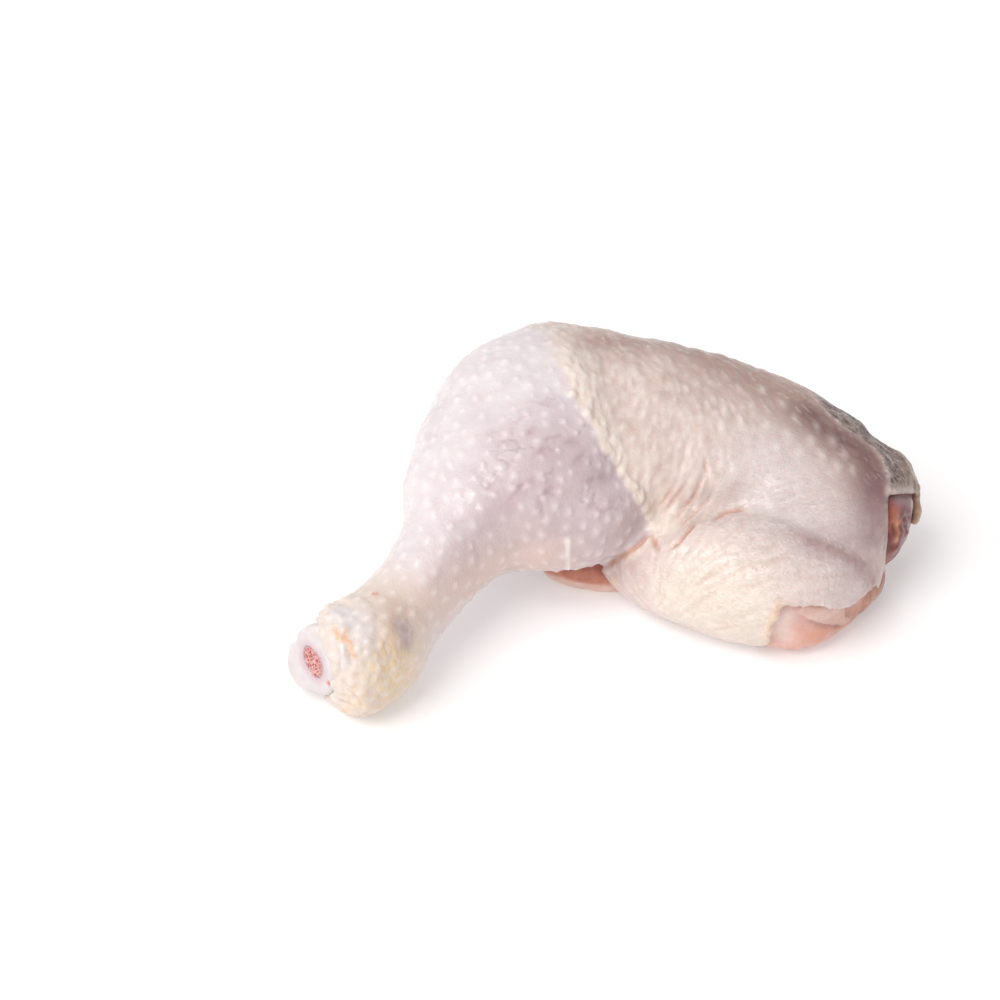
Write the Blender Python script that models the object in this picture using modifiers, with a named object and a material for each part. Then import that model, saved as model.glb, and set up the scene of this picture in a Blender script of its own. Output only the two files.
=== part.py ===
"""A raw chicken leg, drumstick and thigh in one piece, lying on its inner side.

X runs from the knuckle to the hip, Y away from the front, and Z up from the
surface that the leg lies on. Sizes and places are in millimetres, and the leg
is centred over its footprint at the end.
"""

import math

import bmesh
import bpy
import numpy as np
from mathutils import Matrix, Vector

MM = 0.001

# Driving sizes
SKIN = 2.0
GAP = 0.35
VOXEL = 1.7
SMOOTHING = 6
OUTER_FACES = 5700
HOLLOW_FACES = 1500
FLOOR_SIZE = 400
FLOOR_DEPTH = 30

# Stations of a limb: x, y, z of its middle, then its half width and half height
DRUMSTICK = [
    (-43, -93, 15, 15.4, 15.3),
    (-34.5, -86.5, 15.5, 14.4, 15.4),
    (-28, -76.5, 17.5, 12.0, 13.6),
    (-21, -67, 21.5, 11.8, 13.2),
    (-14, -55.5, 25.5, 14.2, 15.6),
    (-8.5, -46, 28.5, 22.0, 19.0),
    (0.3, -35, 31.5, 30.0, 21.6),
    (8.5, -23, 33.5, 31.4, 23.3),
    (13, -7, 35, 30.8, 23.3),
    (22, 9.5, 35, 22.4, 20.2),
]
CALF = [
    (0, -45, 26.5, 13.2, 13.2),
    (12.5, -44, 27.5, 15.8, 14.5),
    (25.5, -41.5, 27.5, 15.0, 14.5),
    (35, -37, 28, 10.6, 11.4),
]
KNEE_WEB = [
    (17.5, -17.5, 33.5, 17.6, 17.6),
    (33.5, -21, 33.5, 20.2, 18.0),
    (47.5, -24, 31, 17.6, 17.6),
]
THIGH = [
    (19.5, 0, 32.5, 29.0, 23.9),
    (30, -5.5, 29.5, 31.7, 26.3),
    (42, -9, 27, 32.6, 27.8),
    (57, -12.5, 25.5, 32.6, 26.3),
    (72, -17.5, 23.8, 31.7, 24.6),
    (86, -25, 22, 29.0, 23.0),
    (98, -30.8, 20.8, 25.2, 21.2),
    (109, -33.8, 20.8, 18.4, 17.2),
]
FLAP = [
    (38, -41, 10.5, 10.8, 10.6),
    (46, -47.2, 13.5, 14.7, 13.8),
    (56.5, -53.3, 16.5, 17.2, 17.0),
    (68.5, -58, 17.5, 18.4, 18.6),
    (80, -60, 16.5, 17.8, 17.0),
    (90.5, -54.5, 13, 15.0, 13.6),
    (98.5, -47.5, 11.5, 11.4, 11.4),
]
LIMBS = [DRUMSTICK, CALF, KNEE_WEB, THIGH, FLAP]

RIM_BULGE = 0.4

# Muscle that shows past the skin
PINK_LOBE = [
    (70.5, -54.5, 9.5, 10.6, 9.7),
    (79, -62.5, 8.5, 12.3, 9.2),
    (87.5, -60.8, 7.5, 10.0, 7.9),
    (96, -52.8, 7, 8.4, 7.5),
    (103.5, -45.5, 8, 6.8, 7.9),
]
STRIP = [
    (54.5, -38, 6, 7.0, 7.0),
    (35, -41, 4, 4.6, 5.3),
    (26.5, -41, 4, 4.2, 4.8),
    (19.5, -39.5, 4, 3.3, 4.0),
    (13, -38, 4, 1.6, 1.9),
]
LOBES = [PINK_LOBE, STRIP]

# Openings in the skin: along the lower front, and two blocks at the hip, which are turned
# about X by the tilt. The first bares the hip's near side and the second its underside
FRONT_OPENING = [
    (74.5, -71, 2, 13.5, 22.0),
    (84, -71, 1, 13.5, 20.5),
    (92, -69, 0.5, 13.0, 16.0),
    (104.5, -60, 1, 12.0, 12.5),
]
FRONT_BULGES = (0.04, 0.6)
HIP_TILT = 37
HIP_OPENINGS = [
    ((108.5, -120, -60), (145, -39.5, 1.7)),
    ((110, -120, -60), (145, 20, -6.5)),
]

# Creases: their route, depth and half width. A route of x and y is pressed in from above
FOLD = [(30, -53, 16), (33.5, -52, 18.5), (39, -52.5, 22.5), (43.5, -52, 27)]
VALLEY = [(45, -54), (55.5, -50), (64, -47.5), (72, -48), (83, -51), (91.5, -53), (107, -54.5)]
FAN = [
    [(43, -50), (46, -44), (50, -40), (53, -32)],
    [(45, -56), (50, -48), (57, -43), (60, -37)],
    [(55.5, -50), (68, -45), (78, -41), (84, -37)],
]
CREASES = [(FOLD, 2.0, 2.6), (VALLEY, 1.8, 5.2)]
WRINKLES = [(route, 0.8, 2.3) for route in FAN]

# The knuckle: the middle of its cut face, the way the face looks and the way it runs in.
# A lobe has a count, a size and a start, and the notch an angle, a depth and a width
KNUCKLE_FACE = (-51.5, -91, 14.5)
KNUCKLE_LOOK = (-0.70, -0.68, 0.20)
KNUCKLE_RUN = (0.90, 0.43, 0.0)
KNUCKLE_RADIUS = 10.4
KNUCKLE_TAPER = 1.4
KNUCKLE_LENGTH = 17
KNUCKLE_EDGE = 1.8
KNUCKLE_LOBES = [(1, 0.07, -0.8), (2, 0.07, 0.7), (3, 0.05, 2.0), (5, 0.05, 0.4)]
KNUCKLE_NOTCH = (2.88, 0.2, 0.24)
KNUCKLE_TURNS = 40

# The mouth in the skin in front of the knuckle's face
MOUTH_RUN = (-0.55, -0.70, 0.35)
MOUTH_LENGTH = 20
MOUTH_FLARE = 3.0

# The flat cuts that end the skin round the knuckle: a place on each and the way it looks.
# The second takes the rim's upper corner off
RIM_CUTS = [
    ((-49.0, -91, 15), (-1, -0.05, 0.04)),
    ((-50, -88, 24), (-0.80, 0.34, 0.49)),
]
RIM_CUT_SIZE = 60

# The bone: an oval rod from the cut face up the drumstick
BONE_WIDTH = 6.8
BONE_HEIGHT = 9.0
BONE_TURN = 0.85
BONE_ASIDE = 1.5
BONE_SINK = 0.3
BONE_TURNS = 18
BONE_ROUTE = [
    (-44, -87.5, 15),
    (-36, -82, 15.5),
    (-27.5, -74, 17),
    (-20, -63.5, 21),
    (-10.5, -47.5, 26.5),
    (2, -30, 31),
]

# The bunched skin at the ankle: rolls that run round the shank
RIM_MIDDLE = (-45, -94, 15)
RIM_REACH = 23
ROLL_LENGTH = 6.6
ROLL_HEIGHT = 0.7


def between(rows, place):
    """The row at a place along the list, on a smooth line through the rows."""
    last = len(rows) - 1
    index = min(int(place), last - 1)
    part = place - index
    before, start = rows[max(index - 1, 0)], rows[index]
    end, after = rows[index + 1], rows[min(index + 2, last)]
    return [
        b + 0.5 * part * (c - a + part * (2 * a - 5 * b + 4 * c - d + part * (3 * (b - c) + d - a)))
        for a, b, c, d in zip(before, start, end, after)
    ]


def new_object(name, bm):
    mesh = bpy.data.meshes.new(name)
    bm.to_mesh(mesh)
    bm.free()
    piece = bpy.data.objects.new(name, mesh)
    bpy.context.scene.collection.objects.link(piece)
    return piece


def lofted(name, loops):
    """A closed body through loops of points, all with the same count, in millimetres."""
    bm = bmesh.new()
    rings = [[bm.verts.new(Vector(spot) * MM) for spot in loop] for loop in loops]
    for first, second in zip(rings, rings[1:]):
        for turn, spot in enumerate(first):
            beside = (turn + 1) % len(first)
            bm.faces.new((spot, first[beside], second[beside], second[turn]))
    bm.faces.new(rings[0])
    bm.faces.new(rings[-1])
    bmesh.ops.recalc_face_normals(bm, faces=bm.faces)
    return new_object(name, bm)


def rounded_corner(angle, power=2.3):
    """A point at an angle on an oval that is a little squarer than an ellipse."""
    across, up = math.cos(angle), math.sin(angle)
    reach = (abs(across) ** power + abs(up) ** power) ** (-1 / power)
    return across * reach, up * reach


def limb(name, rows, rings=36, corners=36, dome=5, bulges=(0.6, 0.6), inset=0.0):
    """A rounded body through the stations, closed by a dome at each end."""
    last = len(rows) - 1
    quarter = [math.pi / 2 * step / dome for step in range(1, dome)]
    places = [(0, math.cos(a), -math.sin(a)) for a in reversed(quarter)]
    places += [(last * ring / rings, 1, 0) for ring in range(rings + 1)]
    places += [(last, math.cos(a), math.sin(a)) for a in quarter]
    loops = []
    for place, share, push in places:
        x, y, z, half_width, half_height = between(rows, place)
        behind = Vector(between(rows, max(place - 0.02, 0))[:3])
        ahead = Vector(between(rows, min(place + 0.02, last))[:3])
        along = (ahead - behind).normalized()
        side = along.cross(Vector((0, 0, 1))).normalized()
        top = side.cross(along)
        half_width = max(half_width - inset, 1)
        half_height = max(half_height - inset, 1)
        bulge = bulges[0] if push < 0 else bulges[1]
        middle = Vector((x, y, z)) + along * (push * half_height * bulge)
        ovals = [rounded_corner(math.tau * corner / corners) for corner in range(corners)]
        loops.append([
            middle + side * (half_width * share * across) + top * (half_height * share * up)
            for across, up in ovals
        ])
    return lofted(name, loops)


def baked(piece, name):
    """The piece with its modifiers applied, in place of the piece."""
    graph = bpy.context.evaluated_depsgraph_get()
    mesh = bpy.data.meshes.new_from_object(piece.evaluated_get(graph))
    bpy.data.objects.remove(piece)
    mesh.name = name
    result = bpy.data.objects.new(name, mesh)
    bpy.context.scene.collection.objects.link(result)
    return result


def joined(name, pieces):
    """All pieces as loose parts of one mesh."""
    bm = bmesh.new()
    for piece in pieces:
        bm.from_mesh(piece.data)
        bpy.data.objects.remove(piece)
    return new_object(name, bm)


def melted(name, pieces):
    """The pieces grown into one body, creased softly where they meet."""
    piece = joined(name, pieces)
    remesh = piece.modifiers.new("Remesh", "REMESH")
    remesh.mode = "VOXEL"
    remesh.voxel_size = VOXEL * MM
    smooth = piece.modifiers.new("Smooth", "SMOOTH")
    smooth.factor = 0.5
    smooth.iterations = SMOOTHING
    return baked(piece, name)


def thinned(piece, faces):
    """The piece with about so many triangles left, more of them where it curves."""
    triangles = sum(len(face.vertices) - 2 for face in piece.data.polygons)
    decimate = piece.modifiers.new("Decimate", "DECIMATE")
    decimate.ratio = min(1.0, faces / triangles)
    decimate.use_collapse_triangulate = True
    return baked(piece, piece.name)


def grown(piece, name, amount):
    """A copy of the piece with its surface moved out by an amount."""
    bm = bmesh.new()
    bm.from_mesh(piece.data)
    bm.normal_update()
    moves = [vert.normal * (amount * MM * min(vert.calc_shell_factor(), 1.5)) for vert in bm.verts]
    for vert, move in zip(bm.verts, moves):
        vert.co += move
    return new_object(name, bm)


def boolean(piece, operation, other, solver="EXACT"):
    """The piece joined with or cut by another, which is used up."""
    modifier = piece.modifiers.new(operation.title(), "BOOLEAN")
    modifier.operation = operation
    modifier.solver = solver
    modifier.object = other
    result = baked(piece, piece.name)
    bpy.data.objects.remove(other)
    return result


def without_scraps(piece):
    """Drops the loose crumbs that a cut leaves, keeping the largest body."""
    bm = bmesh.new()
    bm.from_mesh(piece.data)
    bodies = []
    left = set(bm.verts)
    while left:
        body, edge = set(), [left.pop()]
        while edge:
            spot = edge.pop()
            body.add(spot)
            beside = {link.other_vert(spot) for link in spot.link_edges} & left
            left -= beside
            edge += beside
        bodies.append(body)
    bodies.sort(key=len)
    for body in bodies[:-1]:
        bmesh.ops.delete(bm, geom=list(body), context="VERTS")
    bm.to_mesh(piece.data)
    bm.free()
    return piece


def block(name, low, high):
    bm = bmesh.new()
    bmesh.ops.create_cube(bm, size=1)
    size = [(b - a) * MM for a, b in zip(low, high)]
    middle = [(a + b) / 2 * MM for a, b in zip(low, high)]
    bmesh.ops.scale(bm, vec=size, verts=bm.verts)
    bmesh.ops.translate(bm, vec=middle, verts=bm.verts)
    return new_object(name, bm)


def hip_block(low, high):
    """A block at the hip, turned about X."""
    piece = block("hip opening", low, high)
    piece.data.transform(Matrix.Rotation(-math.radians(HIP_TILT), 4, "X"))
    return piece


def floor_block():
    """Everything below the surface that the leg lies on."""
    half = FLOOR_SIZE / 2
    return block("floor", (-half, -half, -FLOOR_DEPTH), (half, half, 0))


def rim_block(place, look):
    """Everything in front of a flat cut at the ankle's rim."""
    half = RIM_CUT_SIZE / 2
    piece = block("rim cut", (-half, -half, 0), (half, half, RIM_CUT_SIZE))
    turn = Vector(look).to_track_quat("Z", "Y").to_matrix().to_4x4()
    piece.data.transform(Matrix.Translation(Vector(place) * MM) @ turn)
    return piece


def way_to(points, route):
    """How far each point is from a route of straight runs, in space or in plan."""
    nearest = np.full(len(points), np.inf)
    for start, end in zip(route, route[1:]):
        a, run = np.array(start, float), np.array(end, float) - np.array(start, float)
        share = np.clip((points - a) @ run / (run @ run), 0, 1)
        nearest = np.minimum(nearest, np.linalg.norm(points - a - share[:, None] * run, axis=1))
    return nearest


def pressed(piece, creases):
    """Presses each crease into the surface, deepest along its route."""
    mesh = piece.data
    spots = np.array([vert.co for vert in mesh.vertices]) / MM
    normals = np.array([vert.normal for vert in mesh.vertices])
    depth = np.zeros(len(spots))
    for route, deep, half_width in creases:
        axes = len(route[0])
        share = 1 if axes == 3 else np.clip(normals[:, 2], 0, 1)
        depth += share * deep * np.exp(-((way_to(spots[:, :axes], route) / half_width) ** 2))
    spots -= normals * depth[:, None]
    mesh.vertices.foreach_set("co", (spots * MM).ravel())
    mesh.update()


def bunched(piece):
    """Rolls of loose skin round the ankle, uneven from side to side."""
    mesh = piece.data
    spots = np.array([vert.co for vert in mesh.vertices]) / MM
    normals = np.array([vert.normal for vert in mesh.vertices])
    along = np.array(KNUCKLE_RUN) / np.linalg.norm(KNUCKLE_RUN)
    offset = spots - np.array(RIM_MIDDLE)
    far = offset @ along
    angle = np.arctan2(offset[:, 2], offset @ np.array((-along[1], along[0], 0)))
    sway = 1.6 * np.sin(3 * angle + 0.5) + 0.8 * np.sin(7 * angle)
    near = np.clip(1 - np.linalg.norm(offset, axis=1) / RIM_REACH, 0, 1)
    lift = ROLL_HEIGHT * np.sin(math.tau * (far + sway) / ROLL_LENGTH) * np.sqrt(near)
    spots += normals * lift[:, None]
    mesh.vertices.foreach_set("co", (spots * MM).ravel())
    mesh.update()


def outer_form():
    """The whole leg as its outer surface shows it."""
    shank = limb("limb", DRUMSTICK, bulges=(RIM_BULGE, 0.6))
    outer = melted("outer", [shank] + [limb("limb", rows) for rows in LIMBS[1:]])
    pressed(outer, CREASES + WRINKLES)
    bunched(outer)
    return thinned(outer, OUTER_FACES)


def hollow_form():
    """The space inside the skin; the skin stays thick round the knuckle."""
    rows_inside = [DRUMSTICK[1:]] + LIMBS[1:]
    hollow = melted("hollow", [limb("limb", rows, inset=SKIN) for rows in rows_inside])
    pressed(hollow, CREASES)
    return thinned(hollow, HOLLOW_FACES)


def lobe(rows):
    return limb("lobe", rows, rings=12, corners=18, dome=4)


def frame_along(direction):
    """Unit vectors out of a plane, across it and up it."""
    out = Vector(direction).normalized()
    across = Vector((0, 0, 1)).cross(out).normalized()
    return out, across, out.cross(across)


def oval(middle, wide, high, turns):
    """Points round a middle; wide and high are its two half axes."""
    angles = [math.tau * turn / turns for turn in range(turns)]
    return [middle + wide * math.cos(angle) + high * math.sin(angle) for angle in angles]


def knuckle_plug(spare=0.0):
    """The knuckle's gristle: a short plug with lobed sides and a soft rim at its cut face."""
    out, across, up = frame_along(KNUCKLE_LOOK)
    run = Vector(KNUCKLE_RUN).normalized()
    arc = [math.pi / 2 * step / 4 for step in range(5)]
    steps = [(KNUCKLE_EDGE * (1 - math.sin(a)), KNUCKLE_EDGE * (1 - math.cos(a))) for a in reversed(arc)]
    steps += [(KNUCKLE_LENGTH * part, KNUCKLE_TAPER * part) for part in (0.3, 0.55, 0.8, 0.93)]
    steps.append((KNUCKLE_LENGTH + spare, KNUCKLE_TAPER + 2.5))
    notch_angle, notch_depth, notch_width = KNUCKLE_NOTCH
    loops = []
    for depth, pull in steps:
        loop = []
        for turn in range(KNUCKLE_TURNS):
            angle = math.tau * turn / KNUCKLE_TURNS
            swell = 1 + sum(size * math.cos(count * (angle - start)) for count, size, start in KNUCKLE_LOBES)
            swell -= notch_depth * math.exp(-(((angle - notch_angle) / notch_width) ** 2))
            reach = KNUCKLE_RADIUS * swell - pull + spare
            sideways = across * (reach * math.cos(angle)) + up * (reach * math.sin(angle))
            loop.append(Vector(KNUCKLE_FACE) + run * depth + sideways)
        loops.append(loop)
    return lofted("knuckle", loops)


def mouth():
    """The room in front of the knuckle's face, flared as it leaves the skin."""
    out, across, up = frame_along(KNUCKLE_LOOK)
    run = Vector(MOUTH_RUN).normalized()
    face = Vector(KNUCKLE_FACE)
    loops = []
    for part in (-0.02, 0.3, 1.0):
        reach = KNUCKLE_RADIUS + GAP + MOUTH_FLARE * part
        loops.append(oval(face + run * (MOUTH_LENGTH * part), across * reach, up * reach, KNUCKLE_TURNS))
    return lofted("mouth", loops)


def bone_rod(spare=0.0):
    """The bone, flush with the knuckle's face; with spare it is the room cut for it."""
    out, across, up = frame_along(KNUCKLE_LOOK)
    wide = (across * math.cos(BONE_TURN) + up * math.sin(BONE_TURN)) * (BONE_WIDTH / 2 + spare)
    high = (up * math.cos(BONE_TURN) - across * math.sin(BONE_TURN)) * (BONE_HEIGHT / 2 + spare)
    start = Vector(KNUCKLE_FACE) - out * BONE_SINK + across * BONE_ASIDE
    middles = [start] + [Vector(spot) for spot in BONE_ROUTE]
    middles[0] += (middles[0] - middles[1]).normalized() * 4 * spare
    middles[-1] += (middles[-1] - middles[-2]).normalized() * spare
    return lofted("bone", [oval(middle, wide, high, BONE_TURNS) for middle in middles])


def make_skin(hollow):
    cuts = [
        grown(hollow, "hollow cut", 0),
        limb("front opening", FRONT_OPENING, rings=14, corners=24, bulges=FRONT_BULGES),
    ]
    cuts += [hip_block(low, high) for low, high in HIP_OPENINGS]
    for rows in LOBES:
        shape = lobe(rows)
        cuts.append(grown(shape, "lobe room", GAP))
        bpy.data.objects.remove(shape)
    cuts += [knuckle_plug(GAP), mouth(), floor_block()]
    cuts += [rim_block(place, look) for place, look in RIM_CUTS]
    skin = outer_form()
    for cut in cuts:
        skin = boolean(skin, "DIFFERENCE", cut, "MANIFOLD")
    return without_scraps(skin)


def make_meat(hollow):
    meat = grown(hollow, "meat", -GAP)
    for rows in LOBES:
        meat = boolean(meat, "UNION", lobe(rows), "MANIFOLD")
    meat = boolean(meat, "DIFFERENCE", knuckle_plug(GAP))
    meat = boolean(meat, "DIFFERENCE", bone_rod(GAP))
    return without_scraps(boolean(meat, "DIFFERENCE", floor_block()))


def make_knuckle():
    return boolean(knuckle_plug(), "DIFFERENCE", bone_rod(GAP))


def finish(name, colour, roughness):
    """A material with one colour, roughness and no metal."""
    material = bpy.data.materials.new(name)
    material.use_nodes = True
    shader = material.node_tree.nodes["Principled BSDF"]
    shader.inputs["Base Color"].default_value = (*colour, 1)
    shader.inputs["Roughness"].default_value = roughness
    shader.inputs["Metallic"].default_value = 0
    return material


def settle(pieces):
    """Moves the leg so that its footprint's middle on the surface is the origin."""
    spots = [vert.co for piece in pieces for vert in piece.data.vertices]
    low = Vector([min(spot[axis] for spot in spots) for axis in range(3)])
    high = Vector([max(spot[axis] for spot in spots) for axis in range(3)])
    middle = (low + high) / 2
    for piece in pieces:
        for vert in piece.data.vertices:
            vert.co -= Vector((middle.x, middle.y, low.z))


def build():
    for piece in list(bpy.data.objects):
        bpy.data.objects.remove(piece)
    hollow = hollow_form()
    parts = {
        "skin": (make_skin(hollow), (0.82, 0.70, 0.64), 0.4),
        "meat": (make_meat(hollow), (0.62, 0.27, 0.21), 0.35),
        "knuckle": (make_knuckle(), (0.90, 0.86, 0.82), 0.35),
        "bone": (bone_rod(), (0.62, 0.22, 0.20), 0.6),
    }
    bpy.data.objects.remove(hollow)
    collection = bpy.data.collections.new("Chicken leg")
    bpy.context.scene.collection.children.link(collection)
    for name, (piece, colour, roughness) in parts.items():
        piece.name = name
        piece.data.name = name
        bpy.context.scene.collection.objects.unlink(piece)
        collection.objects.link(piece)
        piece.data.materials.clear()
        piece.data.materials.append(finish(name, colour, roughness))
        piece.data.shade_smooth()
        piece.data.set_sharp_from_angle(angle=math.radians(40))
    settle([piece for piece, colour, roughness in parts.values()])


build()
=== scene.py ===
"""The looks of a raw chicken leg: its skin, meat, knuckle and marrow, a floor, lights and a camera.

Sizes and places are in millimetres unless a name says otherwise. A PIXEL value
is a place in a picture of 1000 by 1000 pixels, as the camera below sees it, and
is carried onto the leg along the camera's line of sight.
"""

import itertools
import math

import bmesh
import bpy
import numpy as np
from mathutils import Matrix, Vector
from mathutils.bvhtree import BVHTree
from mathutils.kdtree import KDTree


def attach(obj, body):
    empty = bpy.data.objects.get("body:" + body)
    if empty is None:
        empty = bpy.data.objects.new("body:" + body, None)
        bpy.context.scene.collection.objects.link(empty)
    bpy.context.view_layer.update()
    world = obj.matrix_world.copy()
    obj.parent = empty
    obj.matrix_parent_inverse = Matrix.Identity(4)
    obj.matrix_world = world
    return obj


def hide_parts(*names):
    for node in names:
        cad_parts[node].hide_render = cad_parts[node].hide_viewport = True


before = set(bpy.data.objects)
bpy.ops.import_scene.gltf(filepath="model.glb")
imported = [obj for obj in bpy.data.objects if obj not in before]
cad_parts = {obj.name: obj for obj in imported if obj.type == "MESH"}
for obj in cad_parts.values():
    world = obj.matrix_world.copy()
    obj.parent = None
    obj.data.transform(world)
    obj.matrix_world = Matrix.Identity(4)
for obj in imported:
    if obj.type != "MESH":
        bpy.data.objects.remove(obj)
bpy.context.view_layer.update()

MM = 0.001

# The camera
AIM = (-31.0, 39.8, 0.0)
ELEVATION = math.radians(37)
LENS = 100.0
SENSOR = 36.0
PICTURE_WIDTH = 299.2
PICTURE_PIXELS = 1000

# Meshes
SKIN_VOXEL = 0.62
SKIN_SMOOTHING = 12
SKIN_TRIANGLES = 194000
INNER_SHARE = 0.05  # of the faces that another piece hides
INNER_GAP = 1.0
EDGE_RINGS = 4
SCRAP_CORNERS = 60  # the most vertices of a loose scrap of mesh
MEAT_VOXEL = 0.75
KNUCKLE_VOXEL = 0.34
BONE_VOXEL = 0.32
MEAT_SMOOTHING = 10
KNUCKLE_SMOOTHING = 5
BONE_SMOOTHING = 4
BUMP_REACH = 2  # in sizes of the bump
SIDE_STEP = 2
GRAIN_BLEND = 6
OUTER_LEAST = 0.6  # share of the outer side that a bump's middle needs
SKIN_SEED = 7
CELL_FACTORS = (374761393, 668265263, 1440662683)
SEED_FACTOR = 144269
MIX_FACTOR = 1274126177

# The skin's bumps
FOLLICLE_SPACING = 4.5
FOLLICLE_SIZE = 1.05
FOLLICLE_HEIGHT = 0.44
TEAR_HEIGHT = 0.22
TEAR_STRETCH = 1.9
LOBE_SPREAD = 1.15
LOBE_HEIGHT = 0.7
PLUMP_HEIGHT = 0.5
STRIP_HEIGHT = 0.55
ANKLE_RIDGE_HEIGHT = 0.4
ANKLE_LUMP_HEIGHT = 0.6
BUNCH_HEIGHT = 0.85
BUNCH_SPACING = 2.7
BUNCH_WAY = (-0.6, -0.3, -0.7)

# Creases: how deep and wide they are, and the share of their length that tapers
CREASE_REACH = 1.5
CREASE_LIP_AWAY = 1.9  # in widths of the crease
CREASE_LIP_SHARE = 0.35
DEEP_CREASE = (0.8, 0.8, 0.25)
FOLD_CREASE = (0.7, 0.8, 0.1)
SHORT_CREASE = (0.5, 0.7, 0.25)
RIDGE_CREASE = (0.4, 1.1, 0.25)
FAN_CREASE = (0.22, 0.6, 0.4)
FLAP_LINE = (0.16, 0.6, 0.4)
PALE_LINE = (0.12, 0.6, 0.4)
ANKLE_CREASE = (0.4, 0.6, 0.25)
VEIN_CREASE = (0.25, 0.6, 0.5)
HIP_FOLD = (0.6, 0.8, 0.25)
LOBE_CREASE = (0.3, 0.6, 0.25)

# Streaks along the skin's grain: how wide they are, how long, and their seed
STREAK_STEPS = 9
FINE_FLAKES = (1.15, 3.2, 41)
COARSE_FLAKES = (2.2, 6, 42)
FAN_WRINKLES = (2.1, 9, 43)
CROSS_FOLDS = (2.4, 7, 44)
FLAP_FIBRES = (1.3, 9, 48)
NET_FIBRES = (1.1, 9, 49)

# The studio
FLOOR_SIZE = 3.0
FLOOR_GAP = 0.1
FLOOR_COLOUR = (0.75, 0.73, 0.73, 1)
FLOOR_GLOW = 0.28
LIGHT_DISTANCE = 4.0
LIGHT_TURN = math.radians(-50)
LIGHT_HEIGHT = math.radians(53)
LIGHT_SIZE = 2.8
LIGHT_POWER = 122
WORLD_STRENGTH = 0.6
WORLD_COLOUR = (1.0, 0.99, 0.985, 1)

# Routes and places that are read off the picture
FAT_EDGE_PIXELS = [(639, 502), (620, 474), (598, 442), (581, 408), (560, 372), (538, 336)]
LOBE_SPOTS = [
    ((572, 395), 1.3), ((586, 414), 1.4), ((602, 434), 1.9), ((614, 443), 1.9), ((605, 449), 1.7),
    ((619, 456), 3.0), ((622, 472), 2.1), ((631, 485), 2.3), ((638, 497), 2.1), ((645, 507), 1.9),
    ((650, 516), 1.9), ((653, 527), 1.7), ((656, 540), 2.0),
]
DRUM_PIXELS = [
    (480, 400), (450, 520), (550, 540), (575, 555), (590, 480), (520, 420), (430, 620), (350, 690),
]
DRUM_PLACES = [(-60, 40, 30), (-50, 45, 15), (-45, 10, 3), (-20, -5, 3)]
THIGH_PIXELS = [
    (700, 400), (800, 450), (870, 500), (640, 400), (640, 590), (700, 590), (760, 560), (850, 570),
]
THIGH_PLACES = [(0, 60, 30), (-15, 55, 25), (20, 20, 0), (10, -10, 2), (60, 50, 20)]
FLAP_PIXELS = [(640, 590), (700, 590), (760, 560), (850, 575), (700, 620)]
FLAP_PLACES = [(20, -25, 2), (50, -25, 5)]
THIGH_ABOVE_FLAP = 4  # of the thigh's places, from the first
THIGH_BEFORE_NET = 12  # of them too
FOLD_PIXELS = [(600, 566), (612, 563), (625, 555), (640, 545), (652, 532)]
KNEE_FOLD_PIXELS = [(651, 530), (655, 543), (661, 555)]
VALLEY_PIXELS = [(662, 554), (669, 548), (679, 541), (690, 529), (700, 519)]
SHORT_CREASE_PIXELS = [(711, 525), (722, 514), (735, 511), (745, 508), (754, 502)]
RIDGE_PIXELS = [
    (750, 519), (775, 521), (800, 523), (816, 530), (836, 539), (851, 546), (862, 557), (872, 567),
]
FAN_PIXELS = [
    [(660, 543), (671, 524), (687, 505), (697, 490), (705, 470), (703, 452)],
    [(666, 546), (680, 528), (697, 511), (714, 492), (712, 473)],
    [(655, 536), (664, 515), (676, 497), (689, 480), (693, 462)],
    [(652, 522), (660, 505), (672, 489), (682, 470)],
    [(700, 500), (708, 486), (706, 466), (700, 440)],
]
FLAP_LINE_PIXELS = [
    [(683, 592), (699, 585), (711, 572), (722, 560), (733, 551)],
    [(705, 589), (720, 582), (740, 572), (760, 563), (780, 556)],
    [(672, 559), (677, 554), (681, 552)],
    [(735, 563), (752, 549), (772, 545), (790, 540)],
    [(795, 552), (815, 556), (835, 566), (850, 574)],
    [(770, 534), (790, 532), (812, 538), (832, 549)],
    [(745, 530), (765, 528), (785, 527)],
]
PALE_LINE_PIXELS = [
    [(760, 500), (775, 489), (795, 484), (820, 482)],
    [(765, 512), (785, 500), (808, 492), (835, 490)],
    [(790, 512), (812, 505), (838, 500), (860, 502)],
]
GRAIN_PIXELS = [
    [(575, 470), (564, 448)],
    [(540, 400), (530, 380)],
    [(480, 440), (473, 418)],
    [(500, 525), (490, 508)],
    [(420, 600), (440, 584)],
    [(625, 440), (634, 418)],
    [(663, 543), (700, 470)],
    [(705, 445), (705, 415)],
    [(690, 380), (660, 345)],
    [(740, 470), (745, 440)],
    [(790, 500), (780, 470)],
    [(760, 410), (735, 385)],
    [(840, 490), (815, 470)],
    [(850, 440), (825, 420)],
    [(720, 580), (740, 572)],
    [(800, 570), (830, 572)],
]
FLAP_TOP_PIXELS = [
    (655, 545), (690, 527), (722, 515), (750, 515), (775, 521), (800, 523), (836, 539), (872, 567),
]
STRIP_RIDGE_PIXELS = [(569, 540), (568, 552), (568, 567)]
# A lilac-grey band of painted shade along the shank's lower side
SHANK_SHADE_PIXELS = [(436, 578), (447, 562), (461, 548), (478, 532), (493, 520), (505, 508)]
FAN_PIXEL = (690, 497)
FLAP_FAN_PIXEL = (705, 560)
THREAD_PIXELS = [(535, 445), (565, 455), (545, 485), (595, 485), (570, 420), (505, 505)]
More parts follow.
